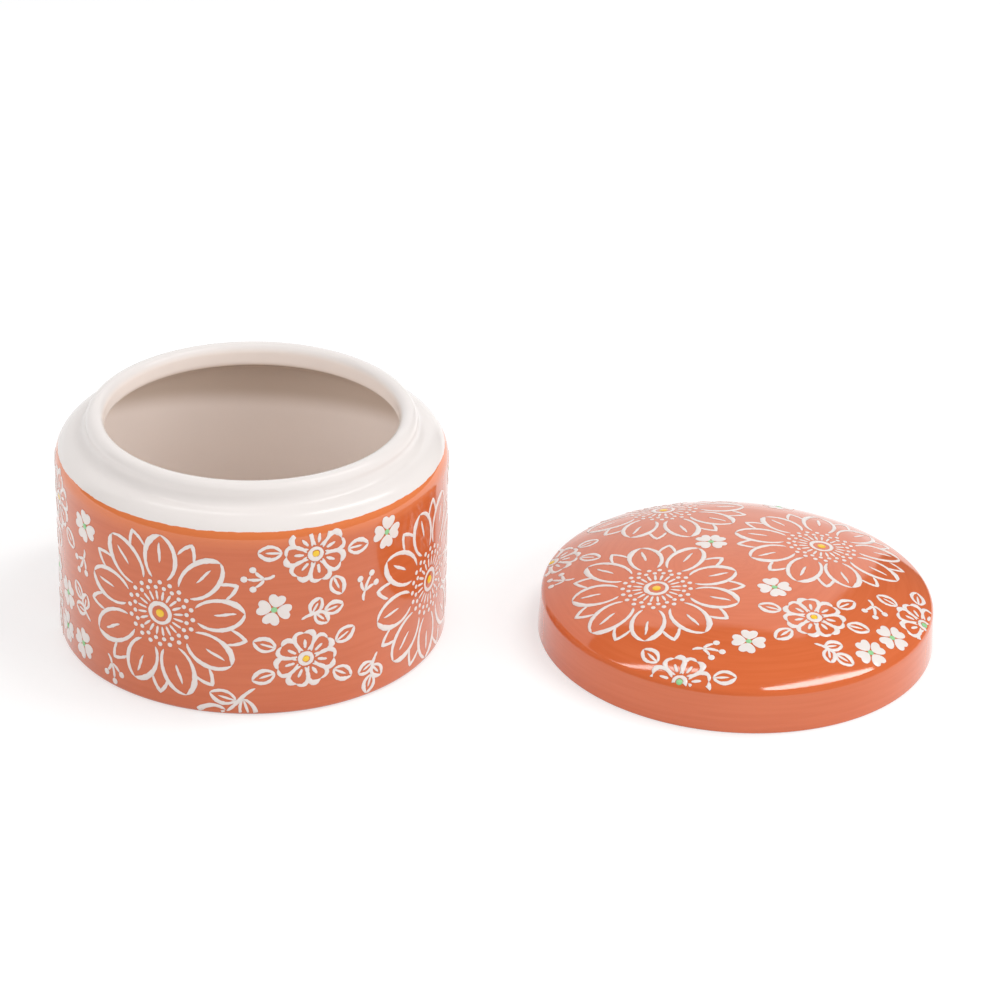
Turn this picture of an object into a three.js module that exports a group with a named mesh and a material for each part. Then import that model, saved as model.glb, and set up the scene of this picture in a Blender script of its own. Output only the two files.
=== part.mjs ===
import * as THREE from 'three';

// A round candy box in glazed stoneware: a straight-sided jar with a set-in neck,
// and its shallow domed lid, taken off and laid right side up beside the jar.
// Millimetres, +Z up. The origin is on the table, below the middle of the pair.

// Jar, outside
const wallHeight = 59.6;        // table to where the wall starts to curve in
const wallRadius = 62.5;        // straight outer wall
const footRounding = 1.7;       // edge between the wall and the foot
const footRingWidth = 4.5;      // flat unglazed ring that the jar stands on
const footRecess = 1.2;         // how far the base is let in inside that ring
const shoulderRounding = 9.1;   // convex curve from the wall in towards the neck
const neckSetback = 10.2;       // from the face of the wall to the face of the neck
const coveRadius = 3.6;         // hollow curve that leads from the shoulder up to the neck
const neckFace = 0.2;           // upright face of the neck, between the cove and the lip
const lipOuterRounding = 2.8;   // outer half of the rolled lip
const lipTop = 0.2;             // level top of the lip, between its two halves
const lipInnerRounding = 2.7;   // inner half of the rolled lip

// Jar, inside
const wallThickness = 4.5;      // wall and shoulder
const floorThickness = 5.5;     // inner floor above the table
const floorFillet = 8;          // curve between the floor and the inner wall
const boreFace = 2.65;          // upright face of the bore, below the lip
const underLipRounding = 2.5;   // edge where the bore turns out under the shoulder

// Lid, outside
const lidOverhang = 1.6;        // lid's rim beyond the face of the jar's wall
const bandDraft = 0.7;          // how far the upright band leans in up to its crease
const lidHeadroom = 4.25;       // top of the band above the neck's lip when the lid is on
const creaseRounding = 2.5;     // edge between the band and the domed top
const shoulderSlope = 28;       // degrees, steepness of the top where it leaves that edge
const shoulderWidth = 19.1;     // ring over which the top flattens out to its crown
const crownRadius = 230;        // curvature of the shallow crown
const rimRounding = 0.8;        // both edges of the rim that the lid rests on

// Lid, inside
const skirtThickness = 5.5;     // band's wall at the rim
const roofThickness = 5;        // crown
const skirtFillet = 8;          // curve between the skirt and the underside of the crown

// The pair on the table
const lidGap = 29.9;            // clear space between the jar's wall and the lid's rim

// Smoothness
const turnSegments = 64;        // facets round a full turn
const curveStep = 12;           // degrees, or less, between the points of a curve
const lipStep = 16;             // the same on the lip
const edgeStep = 24;            // the same on a tight edge
const crownStep = 2.5;          // the same on the crown
const leastStep = 0.02;         // points of a profile closer than this are one point

const { atan2, ceil, cos, hypot, sin, sqrt, asin } = Math;
const radians = THREE.MathUtils.degToRad;
const degrees = THREE.MathUtils.radToDeg;

// Values that both pieces share
const neckRadius = wallRadius - neckSetback;
const shoulderCentre = { r: wallRadius - shoulderRounding, z: wallHeight };
const coveOut = neckRadius + coveRadius - shoulderCentre.r;
const coveUp = sqrt((shoulderRounding + coveRadius) ** 2 - coveOut ** 2);
const coveCentre = { r: neckRadius + coveRadius, z: shoulderCentre.z + coveUp };
const jarHeight = coveCentre.z + neckFace + lipOuterRounding;
const boreRadius = neckRadius - lipOuterRounding - lipTop - lipInnerRounding;
const lidRadius = wallRadius + lidOverhang;
const skirtRadius = lidRadius - skirtThickness;

// The closed lid's inner rim edge rests on the sloping shoulder, which centres it.
// seatHeight is the table to the lid's rim then, and neckRise is how far the neck stands up into the lid.
const seatReach = shoulderRounding + rimRounding;
const seatOut = skirtRadius + rimRounding - shoulderCentre.r;
const seatHeight = shoulderCentre.z + sqrt(seatReach ** 2 - seatOut ** 2) - rimRounding;
const neckRise = jarHeight - seatHeight;

// Points of a circular arc in the profile plane, from one angle to another in degrees.
// 0 degrees points away from the axis and 90 degrees points up.
function arc(centre, radius, from, to, step = curveStep) {
  const count = ceil(Math.abs(to - from) / step);
  const points = [];
  for (let i = 0; i <= count; i++) {
    const angle = radians(from + ((to - from) * i) / count);
    points.push(new THREE.Vector2(centre.r + radius * cos(angle), centre.z + radius * sin(angle)));
  }
  return points;
}

const point = (r, z) => new THREE.Vector2(r, z);

// Turns a profile, given from the axis round the outside and back to the axis, into a solid with +Z up.
function turned(name, profile, material) {
  const kept = profile.filter((p, i) => i === 0 || p.distanceTo(profile[i - 1]) > leastStep);
  const geometry = new THREE.LatheGeometry(kept, turnSegments);
  geometry.rotateX(Math.PI / 2);
  const mesh = new THREE.Mesh(geometry, material);
  mesh.name = name;
  return mesh;
}

// Foot: a base let in by a 45 degree step inside a flat ring, then the rounding up to the wall.
function footProfile() {
  const ringOuter = wallRadius - footRounding;
  const ringInner = ringOuter - footRingWidth;
  return [
    point(0, footRecess),
    point(ringInner - footRecess, footRecess),
    point(ringInner, 0),
    ...arc({ r: ringOuter, z: footRounding }, footRounding, -90, 0, edgeStep),
  ];
}

// Shoulder: a convex round that turns over into the hollow of the cove.
function shoulderProfile() {
  const meeting = degrees(atan2(coveUp, coveOut));
  return [
    ...arc(shoulderCentre, shoulderRounding, 0, meeting),
    ...arc(coveCentre, coveRadius, meeting + 180, 180),
  ];
}

// Lip: the neck's rolled top.
function lipProfile() {
  const outer = { r: neckRadius - lipOuterRounding, z: jarHeight - lipOuterRounding };
  const inner = { r: boreRadius + lipInnerRounding, z: jarHeight - lipInnerRounding };
  return [
    ...arc(outer, lipOuterRounding, 0, 90, lipStep),
    ...arc(inner, lipInnerRounding, 90, 180, lipStep),
  ];
}

// Inside: the bore, the undercut below the neck, the wall and the floor.
// The undercut is a straight slope that touches the rounding under the lip and the inner shoulder.
function insideProfile() {
  const innerRadius = wallRadius - wallThickness;
  const innerShoulder = shoulderRounding - wallThickness;
  const underLip = { r: boreRadius + underLipRounding, z: jarHeight - lipInnerRounding - boreFace };
  const across = { r: shoulderCentre.r - underLip.r, z: shoulderCentre.z - underLip.z };
  const turn = asin((underLipRounding + innerShoulder) / hypot(across.r, across.z));
  const slope = degrees(atan2(across.z, across.r) + turn);
  return [
    ...arc(underLip, underLipRounding, 180, 270 + slope, edgeStep),
    ...arc(shoulderCentre, innerShoulder, 90 + slope, 0, edgeStep),
    ...arc({ r: innerRadius - floorFillet, z: floorThickness + floorFillet }, floorFillet, 0, -90),
    point(0, floorThickness),
  ];
}

function jarBody(glaze) {
  return turned('jar_body', [...footProfile(), ...shoulderProfile(), ...lipProfile(), ...insideProfile()], glaze);
}

// Lid: underside of the crown, fillet, skirt, rim, band, rounded crease, shoulder and crown.
function lid(glaze) {
  const bandHeight = neckRise + lidHeadroom;
  const draft = degrees(atan2(bandDraft, bandHeight));
  const crease = {
    r: lidRadius - bandDraft - creaseRounding * cos(radians(draft)),
    z: bandHeight - creaseRounding * sin(radians(draft)),
  };
  const shoulderOuter = {
    r: crease.r + creaseRounding * sin(radians(shoulderSlope)),
    z: crease.z + creaseRounding * cos(radians(shoulderSlope)),
  };
  const crownEdge = lidRadius - shoulderWidth;
  const crownSlope = degrees(asin(crownEdge / crownRadius));
  const shoulderRadius = (shoulderOuter.r - crownEdge) / (sin(radians(shoulderSlope)) - crownEdge / crownRadius);
  const shoulderMiddle = {
    r: shoulderOuter.r - shoulderRadius * sin(radians(shoulderSlope)),
    z: shoulderOuter.z - shoulderRadius * cos(radians(shoulderSlope)),
  };
  const crownDrop = (crownRadius - shoulderRadius) * cos(radians(crownSlope));
  const crownMiddle = { r: 0, z: shoulderMiddle.z - crownDrop };

  const undersideRadius = crownRadius - roofThickness;
  const filletOut = skirtRadius - skirtFillet;
  const filletUp = sqrt((undersideRadius - skirtFillet) ** 2 - filletOut ** 2);
  const undersideSlope = degrees(atan2(filletOut, filletUp));

  return turned('lid', [
    ...arc(crownMiddle, undersideRadius, 90, 90 - undersideSlope, crownStep),
    ...arc({ r: filletOut, z: crownMiddle.z + filletUp }, skirtFillet, 90 - undersideSlope, 0),
    ...arc({ r: skirtRadius + rimRounding, z: rimRounding }, rimRounding, 180, 270, edgeStep),
    ...arc({ r: lidRadius - rimRounding, z: rimRounding }, rimRounding, 270, 360, edgeStep),
    ...arc(crease, creaseRounding, draft, 90 - shoulderSlope),
    ...arc(shoulderMiddle, shoulderRadius, 90 - shoulderSlope, 90 - crownSlope, 2 * crownStep),
    ...arc(crownMiddle, crownRadius, 90 - crownSlope, 90, crownStep),
  ], glaze);
}

// Each piece has a colour of its own: the jar's wall is a little deeper than the lid's top.
const jarGlaze = new THREE.MeshStandardMaterial({ color: 0xd46d48, roughness: 0.15, metalness: 0 });
const lidGlaze = new THREE.MeshStandardMaterial({ color: 0xdc7750, roughness: 0.12, metalness: 0 });

const pairLength = 2 * wallRadius + lidGap + 2 * lidRadius;
const jar = jarBody(jarGlaze);
jar.position.x = wallRadius - pairLength / 2;
const cover = lid(lidGlaze);
cover.position.x = pairLength / 2 - lidRadius;

const candyBox = new THREE.Group();
candyBox.add(jar, cover);

export default candyBox;
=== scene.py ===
"""Candy box in glazed stoneware: an open jar with a set-in neck, and its domed lid laid beside it.

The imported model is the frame. Both turned pieces are made again here with fine surfaces at the same
sizes, and carry a brushed glaze, a raised floral drawing in white slip and small drops of enamel.
Sizes are in millimetres. They become metres where a mesh gets its place.
"""

import logging
import math
import random
from abc import ABC, abstractmethod
from bisect import bisect_right
from collections.abc import Callable
from dataclasses import dataclass, field
from enum import Enum

import bmesh
import bpy
from bmesh.types import BMesh
from mathutils import Matrix, Vector


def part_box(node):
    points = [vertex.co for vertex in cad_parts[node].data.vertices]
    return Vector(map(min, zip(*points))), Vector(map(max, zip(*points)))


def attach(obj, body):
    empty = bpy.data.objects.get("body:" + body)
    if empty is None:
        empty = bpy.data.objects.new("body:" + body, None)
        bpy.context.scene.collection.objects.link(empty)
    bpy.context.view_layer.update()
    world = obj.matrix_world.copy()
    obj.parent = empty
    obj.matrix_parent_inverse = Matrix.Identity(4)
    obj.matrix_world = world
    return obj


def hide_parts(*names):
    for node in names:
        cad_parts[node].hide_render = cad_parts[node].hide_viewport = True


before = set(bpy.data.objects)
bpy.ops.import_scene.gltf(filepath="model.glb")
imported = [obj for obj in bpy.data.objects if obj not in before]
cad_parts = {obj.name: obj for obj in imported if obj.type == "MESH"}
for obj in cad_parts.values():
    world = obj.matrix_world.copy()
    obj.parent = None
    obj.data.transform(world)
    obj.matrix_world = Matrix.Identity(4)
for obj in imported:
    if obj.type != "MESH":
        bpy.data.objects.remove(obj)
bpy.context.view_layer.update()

log = logging.getLogger("candy_box")

MM = 0.001

Point = tuple[float, float]
Span = tuple[float, float]
Colour = tuple[float, float, float, float]


def on_circle(centre: Point, radius: float, degrees: float) -> Point:
    """Returns the point of a circle at an angle, counted anticlockwise from +x."""
    turn = math.radians(degrees)
    return centre[0] + radius * math.cos(turn), centre[1] + radius * math.sin(turn)


def turned_by(point: Point, degrees: float) -> Point:
    """Turns a point about the origin.

    Args:
        point: The point.
        degrees: Angle to turn it by, anticlockwise.

    Returns:
        The turned point.
    """
    turn = math.radians(degrees)
    cos, sin = math.cos(turn), math.sin(turn)
    return point[0] * cos - point[1] * sin, point[0] * sin + point[1] * cos


def between(a: Point, b: Point, share: float) -> Point:
    """Returns the point at a share of the way from a to b."""
    return a[0] + (b[0] - a[0]) * share, a[1] + (b[1] - a[1]) * share


def bezier(a: Point, b: Point, c: Point, d: Point, steps: int = 16) -> list[Point]:
    """Samples a cubic curve.

    Args:
        a: Start.
        b: Handle of the start.
        c: Handle of the end.
        d: End.
        steps: Number of stretches.

    Returns:
        The steps + 1 points of the curve.
    """
    points = []
    for i in range(steps + 1):
        t = i / steps
        s = 1 - t
        weights = (s**3, 3 * s * s * t, 3 * s * t * t, t**3)
        points.append(tuple(sum(w * p[axis] for w, p in zip(weights, (a, b, c, d))) for axis in (0, 1)))
    return points


def ring(centre: Point, radius: float, steps: int) -> list[Point]:
    """Returns the points of a circle, each one once."""
    return [on_circle(centre, radius, 360 * i / steps) for i in range(steps)]


# Turned forms


class Profile:
    """Section of a turned piece: points as (distance from the axis, height above the table).

    It is walked so that the open air lies on the left.
    """

    def __init__(self) -> None:
        """Starts an empty section."""
        self.points: list[Point] = []

    def to(self, r: float, z: float) -> "Profile":
        """Goes straight to a point, unless the section is there already.

        Args:
            r: Its distance from the axis.
            z: Its height above the table.

        Returns:
            This profile, so that calls can follow one another.
        """
        least = 0.01
        if not self.points or math.dist(self.points[-1], (r, z)) > least:
            self.points.append((r, z))
        return self

    def arc(self, centre: Point, radius: float, start: float, end: float, step: float = 6.0) -> "Profile":
        """Follows an arc.

        Args:
            centre: Its centre.
            radius: Its radius.
            start: First angle in degrees, 0 away from the axis and 90 up.
            end: Last angle.
            step: Most degrees from one point to the next.

        Returns:
            This profile, so that calls can follow one another.
        """
        count = math.ceil(abs(end - start) / step)
        for i in range(count + 1):
            self.to(*on_circle(centre, radius, start + (end - start) * i / count))
        return self


class Meridian:
    """A profile measured along its own length, from a chosen point of it."""

    def __init__(self, points: list[Point], zero: int) -> None:
        """Measures the profile.

        Args:
            points: The profile's points.
            zero: Index of the point where the run is 0.
        """
        self.points = points
        lengths = [0.0]
        for a, b in zip(points, points[1:]):
            lengths.append(lengths[-1] + math.dist(a, b))
        self.runs = [length - lengths[zero] for length in lengths]
        slants = [
            ((a[1] - b[1]) / math.dist(a, b), (b[0] - a[0]) / math.dist(a, b))
            for a, b in zip(points, points[1:])
        ]
        before, after = [slants[0], *slants], [*slants, slants[-1]]
        self.normals = [between(a, b, 0.5) for a, b in zip(before, after)]

    def at(self, run: float) -> tuple[Point, Point]:
        """Finds a place on the profile.

        Args:
            run: Length along the profile from its zero point.

        Returns:
            The point there, and the unit normal that points into the air.
        """
        last = len(self.runs) - 2
        i = min(max(bisect_right(self.runs, run) - 1, 0), last)
        share = (run - self.runs[i]) / (self.runs[i + 1] - self.runs[i])
        r, z = between(self.points[i], self.points[i + 1], share)
        nr, nz = between(self.normals[i], self.normals[i + 1], share)
        size = math.hypot(nr, nz)
        return (r, z), (nr / size, nz / size)


@dataclass
class Turned:
    """A piece turned about an upright axis.

    Points closer than weld become one, and edges of sharp_from degrees or more aren't smoothed.
    """

    meridian: Meridian
    axis_x: float
    segments: int = 256
    weld: float = 0.002
    sharp_from: float = 30.0

    def place(self, angle: float, run: float, lift: float) -> Vector:
        """Finds a point on or above the surface, in metres.

        Args:
            angle: Angle round the axis in radians.
            run: Length along the meridian.
            lift: Height above the surface.

        Returns:
            The point in the frame of the whole object.
        """
        (r, z), (nr, nz) = self.meridian.at(run)
        reach = r + nr * lift
        flat = Vector((self.axis_x + reach * math.cos(angle), reach * math.sin(angle), z + nz * lift))
        return flat * MM

    def spin(self) -> BMesh:
        """Spins the meridian into a closed body, with the run kept on its vertices.

        Returns:
            The body, in metres and in its place.
        """
        bm = bmesh.new()
        layer = bm.verts.layers.float.new("run")
        chain = []
        for (r, z), run in zip(self.meridian.points, self.meridian.runs):
            vert = bm.verts.new((r * MM, 0, z * MM))
            vert[layer] = run
            chain.append(vert)
        edges = [bm.edges.new(pair) for pair in zip(chain, chain[1:])]
        bmesh.ops.spin(
            bm, geom=chain + edges, cent=(0, 0, 0), axis=(0, 0, 1), dvec=(0, 0, 0),
            angle=2 * math.pi, steps=self.segments, use_merge=True,
        )
        bmesh.ops.remove_doubles(bm, verts=bm.verts, dist=self.weld * MM)
        bmesh.ops.recalc_face_normals(bm, faces=bm.faces)
        for edge in bm.edges:
            edge.smooth = edge.calc_face_angle(0) < math.radians(self.sharp_from)
        bmesh.ops.translate(bm, verts=bm.verts, vec=(self.axis_x * MM, 0, 0))
        return bm


# The flat sheet that the flowers are drawn on


class Sheet(ABC):
    """The decorated part of a turned surface, rolled out flat."""

    @abstractmethod
    def holds(self, point: Point) -> bool:
        """Says whether a point of the flat sheet is on the decorated part."""

    @abstractmethod
    def place(self, x: float, y: float, lift: float) -> Vector:
        """Returns where a point of the flat sheet lies on the object, in metres."""

    @abstractmethod
    def anywhere(self, rng: random.Random) -> Point:
        """Picks a point of the decorated part at random."""

    @abstractmethod
    def apart(self, a: Point, b: Point) -> float:
        """Returns how far apart two points are."""

    def crossing(self, a: Point, b: Point) -> float:
        """Finds where the way from one point to another crosses the edge of the decorated part.

        Args:
            a: A point on one side of the edge.
            b: A point on the other side.

        Returns:
            The share of the way from a to b.
        """
        halvings = 12
        low, high = 0.0, 1.0
        for _ in range(halvings):
            share = (low + high) / 2
            if self.holds(between(a, b, share)) == self.holds(a):
                low = share
            else:
                high = share
        return (low + high) / 2


@dataclass
class WallSheet(Sheet):
    """A straight wall: x runs round it and y up it from the table."""

    turned: Turned
    radius: float
    table_run: float
    lowest: float
    highest: float
    facing: float

    def holds(self, point: Point) -> bool:
        """Says whether a point is between the lowest and the highest line."""
        return self.lowest <= point[1] <= self.highest

    def place(self, x: float, y: float, lift: float) -> Vector:
        """Returns where a point of the flat sheet lies on the wall, in metres."""
        return self.turned.place(math.radians(self.facing) + x / self.radius, self.table_run - y, lift)

    def anywhere(self, rng: random.Random) -> Point:
        """Picks a point between the lowest and the highest line at random."""
        return rng.uniform(0, 2 * math.pi * self.radius), rng.uniform(self.lowest, self.highest)

    def apart(self, a: Point, b: Point) -> float:
        """Measures from point to point, the shorter way round the wall.

        Args:
            a: One point.
            b: The other point.

        Returns:
            How far apart they are.
        """
        turn = 2 * math.pi * self.radius
        across = abs(a[0] - b[0]) % turn
        return math.hypot(min(across, turn - across), a[1] - b[1])


@dataclass
class CrownSheet(Sheet):
    """A dome seen from above: distances from the middle are kept."""

    turned: Turned
    reach: float

    def holds(self, point: Point) -> bool:
        """Says whether a point is inside the dome's edge."""
        return math.hypot(*point) <= self.reach

    def place(self, x: float, y: float, lift: float) -> Vector:
        """Returns where a point of the flat sheet lies on the dome, in metres."""
        return self.turned.place(math.atan2(y, x), math.hypot(x, y), lift)

    def anywhere(self, rng: random.Random) -> Point:
        """Picks a point inside the dome's edge at random."""
        return on_circle((0, 0), self.reach * math.sqrt(rng.random()), rng.uniform(0, 360))

    def apart(self, a: Point, b: Point) -> float:
        """Returns how far apart two points are."""
        return math.dist(a, b)


# The drawing


class Enamel(Enum):
    """Colours of the small enamel drops."""

    YELLOW = "yellow"
    GREEN = "green"


@dataclass
class Stroke:
    """A brush line: its points, and its width at each of them."""

    points: list[Point]
    widths: list[float]
    closed: bool = False


@dataclass(frozen=True)
class Bead:
    """A round dot of slip or of enamel, or a circle that a motif takes up."""

    place: Point
    radius: float


@dataclass
class Drawing:
    """Everything drawn on one sheet."""

    strokes: list[Stroke] = field(default_factory=list)
    petals: list[list[Point]] = field(default_factory=list)
    dots: list[Bead] = field(default_factory=list)
    drops: dict[Enamel, list[Bead]] = field(default_factory=lambda: {enamel: [] for enamel in Enamel})

    def clipped(self, sheet: Sheet) -> "Drawing":
        """Cuts the drawing off at the edge of its sheet.

        Args:
            sheet: The sheet that it is on.

        Returns:
            A drawing of the parts that the sheet holds.
        """
        kept = Drawing()
        for stroke in self.strokes:
            kept.strokes += self._cut(stroke, sheet)
        for outline in self.petals:
            part = self._trimmed(outline, sheet)
            if len(part) > len(outline) / 2:
                kept.petals.append(part)
        kept.dots = [dot for dot in self.dots if sheet.holds(dot.place)]
        for enamel, beads in self.drops.items():
            kept.drops[enamel] = [bead for bead in beads if sheet.holds(bead.place)]
        return kept

    @staticmethod
    def _trimmed(outline: list[Point], sheet: Sheet) -> list[Point]:
        """Cuts a filled outline off at the edge of the sheet.

        Args:
            outline: The outline.
            sheet: The sheet.

        Returns:
            The part of the outline that is inside the edge.
        """
        part = []
        for a, b in zip(outline, [*outline[1:], outline[0]]):
            if sheet.holds(a):
                part.append(a)
            if sheet.holds(a) != sheet.holds(b):
                part.append(between(a, b, sheet.crossing(a, b)))
        return part

    @staticmethod
    def _cut(stroke: Stroke, sheet: Sheet) -> list[Stroke]:
        """Cuts a brush line wherever it crosses the edge of the sheet.

        Args:
            stroke: The line.
            sheet: The sheet.

        Returns:
            The parts inside the edge that have three points or more.
        """
        inside = [sheet.holds(p) for p in stroke.points]
        if all(inside):
            return [stroke]
        points, widths = list(stroke.points), list(stroke.widths)
        if stroke.closed:
            points.append(points[0])
            widths.append(widths[0])
            inside.append(inside[0])
        parts: list[Stroke] = []
        current = Stroke([], [])
        for i, here in enumerate(inside):
            if i and here != inside[i - 1]:
                share = sheet.crossing(points[i - 1], points[i])
                current.points.append(between(points[i - 1], points[i], share))
                current.widths.append(widths[i - 1] + (widths[i] - widths[i - 1]) * share)
            if here:
                current.points.append(points[i])
                current.widths.append(widths[i])
            elif current.points:
                parts.append(current)
                current = Stroke([], [])
        if current.points:
            parts.append(current)
        return [part for part in parts if len(part.points) > 2]


@dataclass
class Pen:
    """A brush loaded with slip, held where one motif is drawn."""

    drawing: Drawing
    centre: Point
    turn: float
    rng: random.Random
    mirrored: bool = False
    line: float = 1.15

    def at(self, point: Point, bearing: float = 0.0) -> Point:
        """Takes a point of the motif to the sheet.

        Args:
            point: The point, in the motif's own place.
            bearing: Angle that it is turned by first.

        Returns:
            Its place on the sheet.
        """
        x, y = turned_by(point, bearing)
        x, y = turned_by((x, -y if self.mirrored else y), self.turn)
        return self.centre[0] + x, self.centre[1] + y

    def brush(
        self, points: list[Point], bearing: float = 0.0, swell: float = 0.4, peak: float = 0.5,
        thin: float = 0.8, closed: bool = False,
    ) -> None:
        """Draws a line that swells and thins as a loaded brush does.

        Args:
            points: The line, in the motif's own place.
            bearing: Angle that it is turned by first.
            swell: How much wider it is at its peak, as a share of the pen's line.
            peak: Where along it the peak is, from 0 to 1.
            thin: Width away from the peak, as a share of the pen's line.
            closed: True for a line that meets itself.
        """
        taper_from, taper_rate, roundness = 0.45, 7.0, 1.5
        ring_share, slow_share, quick_share = 0.15, 0.07, 0.05
        slow_rate, quick_rate = 2.1, 4.7
        power = math.log(0.5) / math.log(peak)
        phases = [self.rng.uniform(0, 2 * math.pi) for _ in range(2)]
        widths = []
        travelled = 0.0
        for i, point in enumerate(points):
            travelled += math.dist(point, points[i - 1]) if i else 0.0
            t = i / (len(points) - 1)
            if closed:
                width = 1 + ring_share * math.sin(2 * math.pi * t + phases[0])
            else:
                width = thin + swell * math.sin(math.pi * t**power) ** roundness
                width *= min(1.0, taper_from + taper_rate * min(t, 1 - t))
            slow = slow_share * math.sin(phases[0] + slow_rate * travelled)
            quick = quick_share * math.sin(phases[1] + quick_rate * travelled)
            widths.append(self.line * width * (1 + slow + quick))
        self.drawing.strokes.append(Stroke([self.at(p, bearing) for p in points], widths, closed))

    def fill(self, outline: list[Point], bearing: float = 0.0) -> None:
        """Fills an outline with slip."""
        self.drawing.petals.append([self.at(p, bearing) for p in outline])

    def dot(self, place: Point, radius: float, bearing: float = 0.0) -> None:
        """Sets down a dot of slip."""
        self.drawing.dots.append(Bead(self.at(place, bearing), radius))

    def drop(self, radius: float, enamel: Enamel, place: Point = (0.0, 0.0)) -> None:
        """Sets down a drop of enamel."""
        self.drawing.drops[enamel].append(Bead(self.at(place), radius))

    def petal(
        self, bearing: float, base: float, tip: float, half: float, root: float, point: float,
        vein: float = 0,
    ) -> None:
        """Draws a petal as two lines that meet at its tip.

        Args:
            bearing: Direction that it grows in.
            base: Distance of its root from the middle of the flower.
            tip: Distance of its tip.
            half: Half its width.
            root: Half its width at the root.
            point: How far the tip stands out, or is notched where this is negative.
            vein: Length of its vein as a share of the petal, or 0.
        """
        length = tip - base
        sway = self.rng.uniform(-0.06, 0.06) * half
        fullness = 0.78 if point > 0 else 1.12
        setback = 0.02 * length if point > 0 else -0.02 * length
        for side, swell, peak in ((1, 0.62, 0.74), (-1, 0.3, 0.55)):
            handle = (tip - setback, side * half * fullness)
            out = (base + 0.30 * length, side * half * 0.92 + sway)
            line = bezier((base, side * root), out, handle, (tip + point, sway))
            self.brush(line, bearing, swell=swell, peak=peak, thin=0.78)
        if vein:
            reach = vein * length
            start, end = (base + 0.12 * length, 0), (base + reach, 0)
            line = bezier(start, (base + 0.4 * reach, sway), (base + 0.7 * reach, -sway), end, steps=8)
            self.brush(line, bearing, swell=0.25, thin=0.6)

    def leaf(self, root: Point, bearing: float, length: float, half: float) -> None:
        """Draws an almond leaf with a midrib.

        Args:
            root: Where it joins its stem.
            bearing: Direction that it grows in.
            length: Its length.
            half: Half its width.
        """

        def put(point: Point) -> Point:
            """Returns a point of the leaf in the motif."""
            x, y = turned_by(point, bearing)
            return root[0] + x, root[1] + y

        for side in (1, -1):
            handles = (0.3 * length, side * half * 1.35), (0.72 * length, side * half * 1.1)
            edge = bezier((0, 0), *handles, (length, 0), steps=12)
            self.brush([put(p) for p in edge], swell=0.4 if side > 0 else 0.2, peak=0.6, thin=0.72)
        rib = 0.7 * length
        self.brush([put((rib * i / 6, 0)) for i in range(7)], swell=0.2, thin=0.5)


COSMOS_LEAVES = (20, 75, 200, 250)


def draw_bloom(pen: Pen, enamel: Enamel) -> None:
    """Draws a big open flower: nine pointed petals, the tips of nine more, and a crown of stamens.

    Args:
        pen: The pen, held in its place.
        enamel: The enamel of its drop.
    """
    petals, inner, outer = 9, 12.2, 26.3
    step = 360 / petals
    for i in range(petals):
        bearing = i * step + pen.rng.uniform(-1.5, 1.5)
        tip = outer + (0.7 if i % 2 else -0.5)
        pen.petal(bearing, inner, tip, 7.4, 2.6, point=1.5)
        fold = bezier((outer - 1.6, 0), (outer - 4, 0.4), (outer - 6, -0.4), (outer - 8.6, 0), steps=8)
        pen.brush(fold, bearing, swell=0.3, thin=0.5)
        left = bezier((22.6, -2.7), (25.2, -2.3), (26.9, -1.0), (27.9, 0), steps=8)
        right = [(x, -y) for x, y in reversed(left)]
        pen.brush(left + right[1:], bearing + step / 2, swell=0.2, thin=0.75)
    stamens = 20
    for i in range(stamens):
        bearing = i * 360 / stamens
        pen.brush([(4.6 + 3.4 * k / 5, 0) for k in range(6)], bearing, swell=0.1, thin=0.6)
        pen.dot((9.0, 0), 0.80, bearing)
        pen.dot((10.9, 0), 0.85, bearing + 180 / stamens)
    pen.brush(ring((0, 0), 3.4, 26), closed=True)
    pen.drop(1.4, enamel)


def draw_small_cosmos(pen: Pen, enamel: Enamel) -> None:
    """Draws a round flower of seven notched petals.

    Args:
        pen: The pen, held in its place.
        enamel: The enamel of its drop.
    """
    petals = 7
    for i in range(petals):
        bearing = i * 360 / petals + pen.rng.uniform(-2, 2)
        pen.petal(bearing, 2.9, 10.2, 4.0, 0.7, point=-1.0, vein=0.55)
    pen.brush(ring((0, 0), 1.9, 18), closed=True)
    pen.drop(1.1, enamel)


def draw_cosmos(pen: Pen, enamel: Enamel) -> None:
    """Draws the round flower with leaves behind it.

    Args:
        pen: The pen, held in its place.
        enamel: The enamel of its drop.
    """
    draw_small_cosmos(pen, enamel)
    for bearing in COSMOS_LEAVES:
        pen.leaf(turned_by((10.6, 0), bearing), bearing + pen.rng.uniform(-8, 8), 7.4, 2.4)


def draw_tulip(pen: Pen, enamel: Enamel) -> None:
    """Draws a three-petalled cup from the side, on a stem with two leaves.

    Args:
        pen: The pen, held in its place.
        enamel: The enamel of its drop.
    """
    pen.petal(0, 1.0, 12.6, 3.4, 0.3, point=0.8, vein=0.62)
    for side in (1, -1):
        cup = bezier((0.6, side * 0.6), (1.2, side * 6.2), (7.0, side * 6.6), (12.4, side * 6.2), steps=14)
        pen.brush(cup, swell=0.45, peak=0.6)
        rim = bezier((12.4, side * 6.2), (9.6, side * 4.6), (8.8, side * 3.8), (8.4, side * 3.2), steps=8)
        pen.brush(rim, swell=0.3)
    pen.leaf((-6.2, 0.5), 62, 10.0, 2.5)
    pen.leaf((-4.2, -0.5), -62, 8.6, 2.4)
    pen.brush(bezier((0.6, 0), (-3, 0.8), (-7, -1.0), (-11.5, 0.6), steps=14), swell=0.25, thin=0.75)
    pen.drop(1.0, enamel, (1.6, 0))


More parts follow.
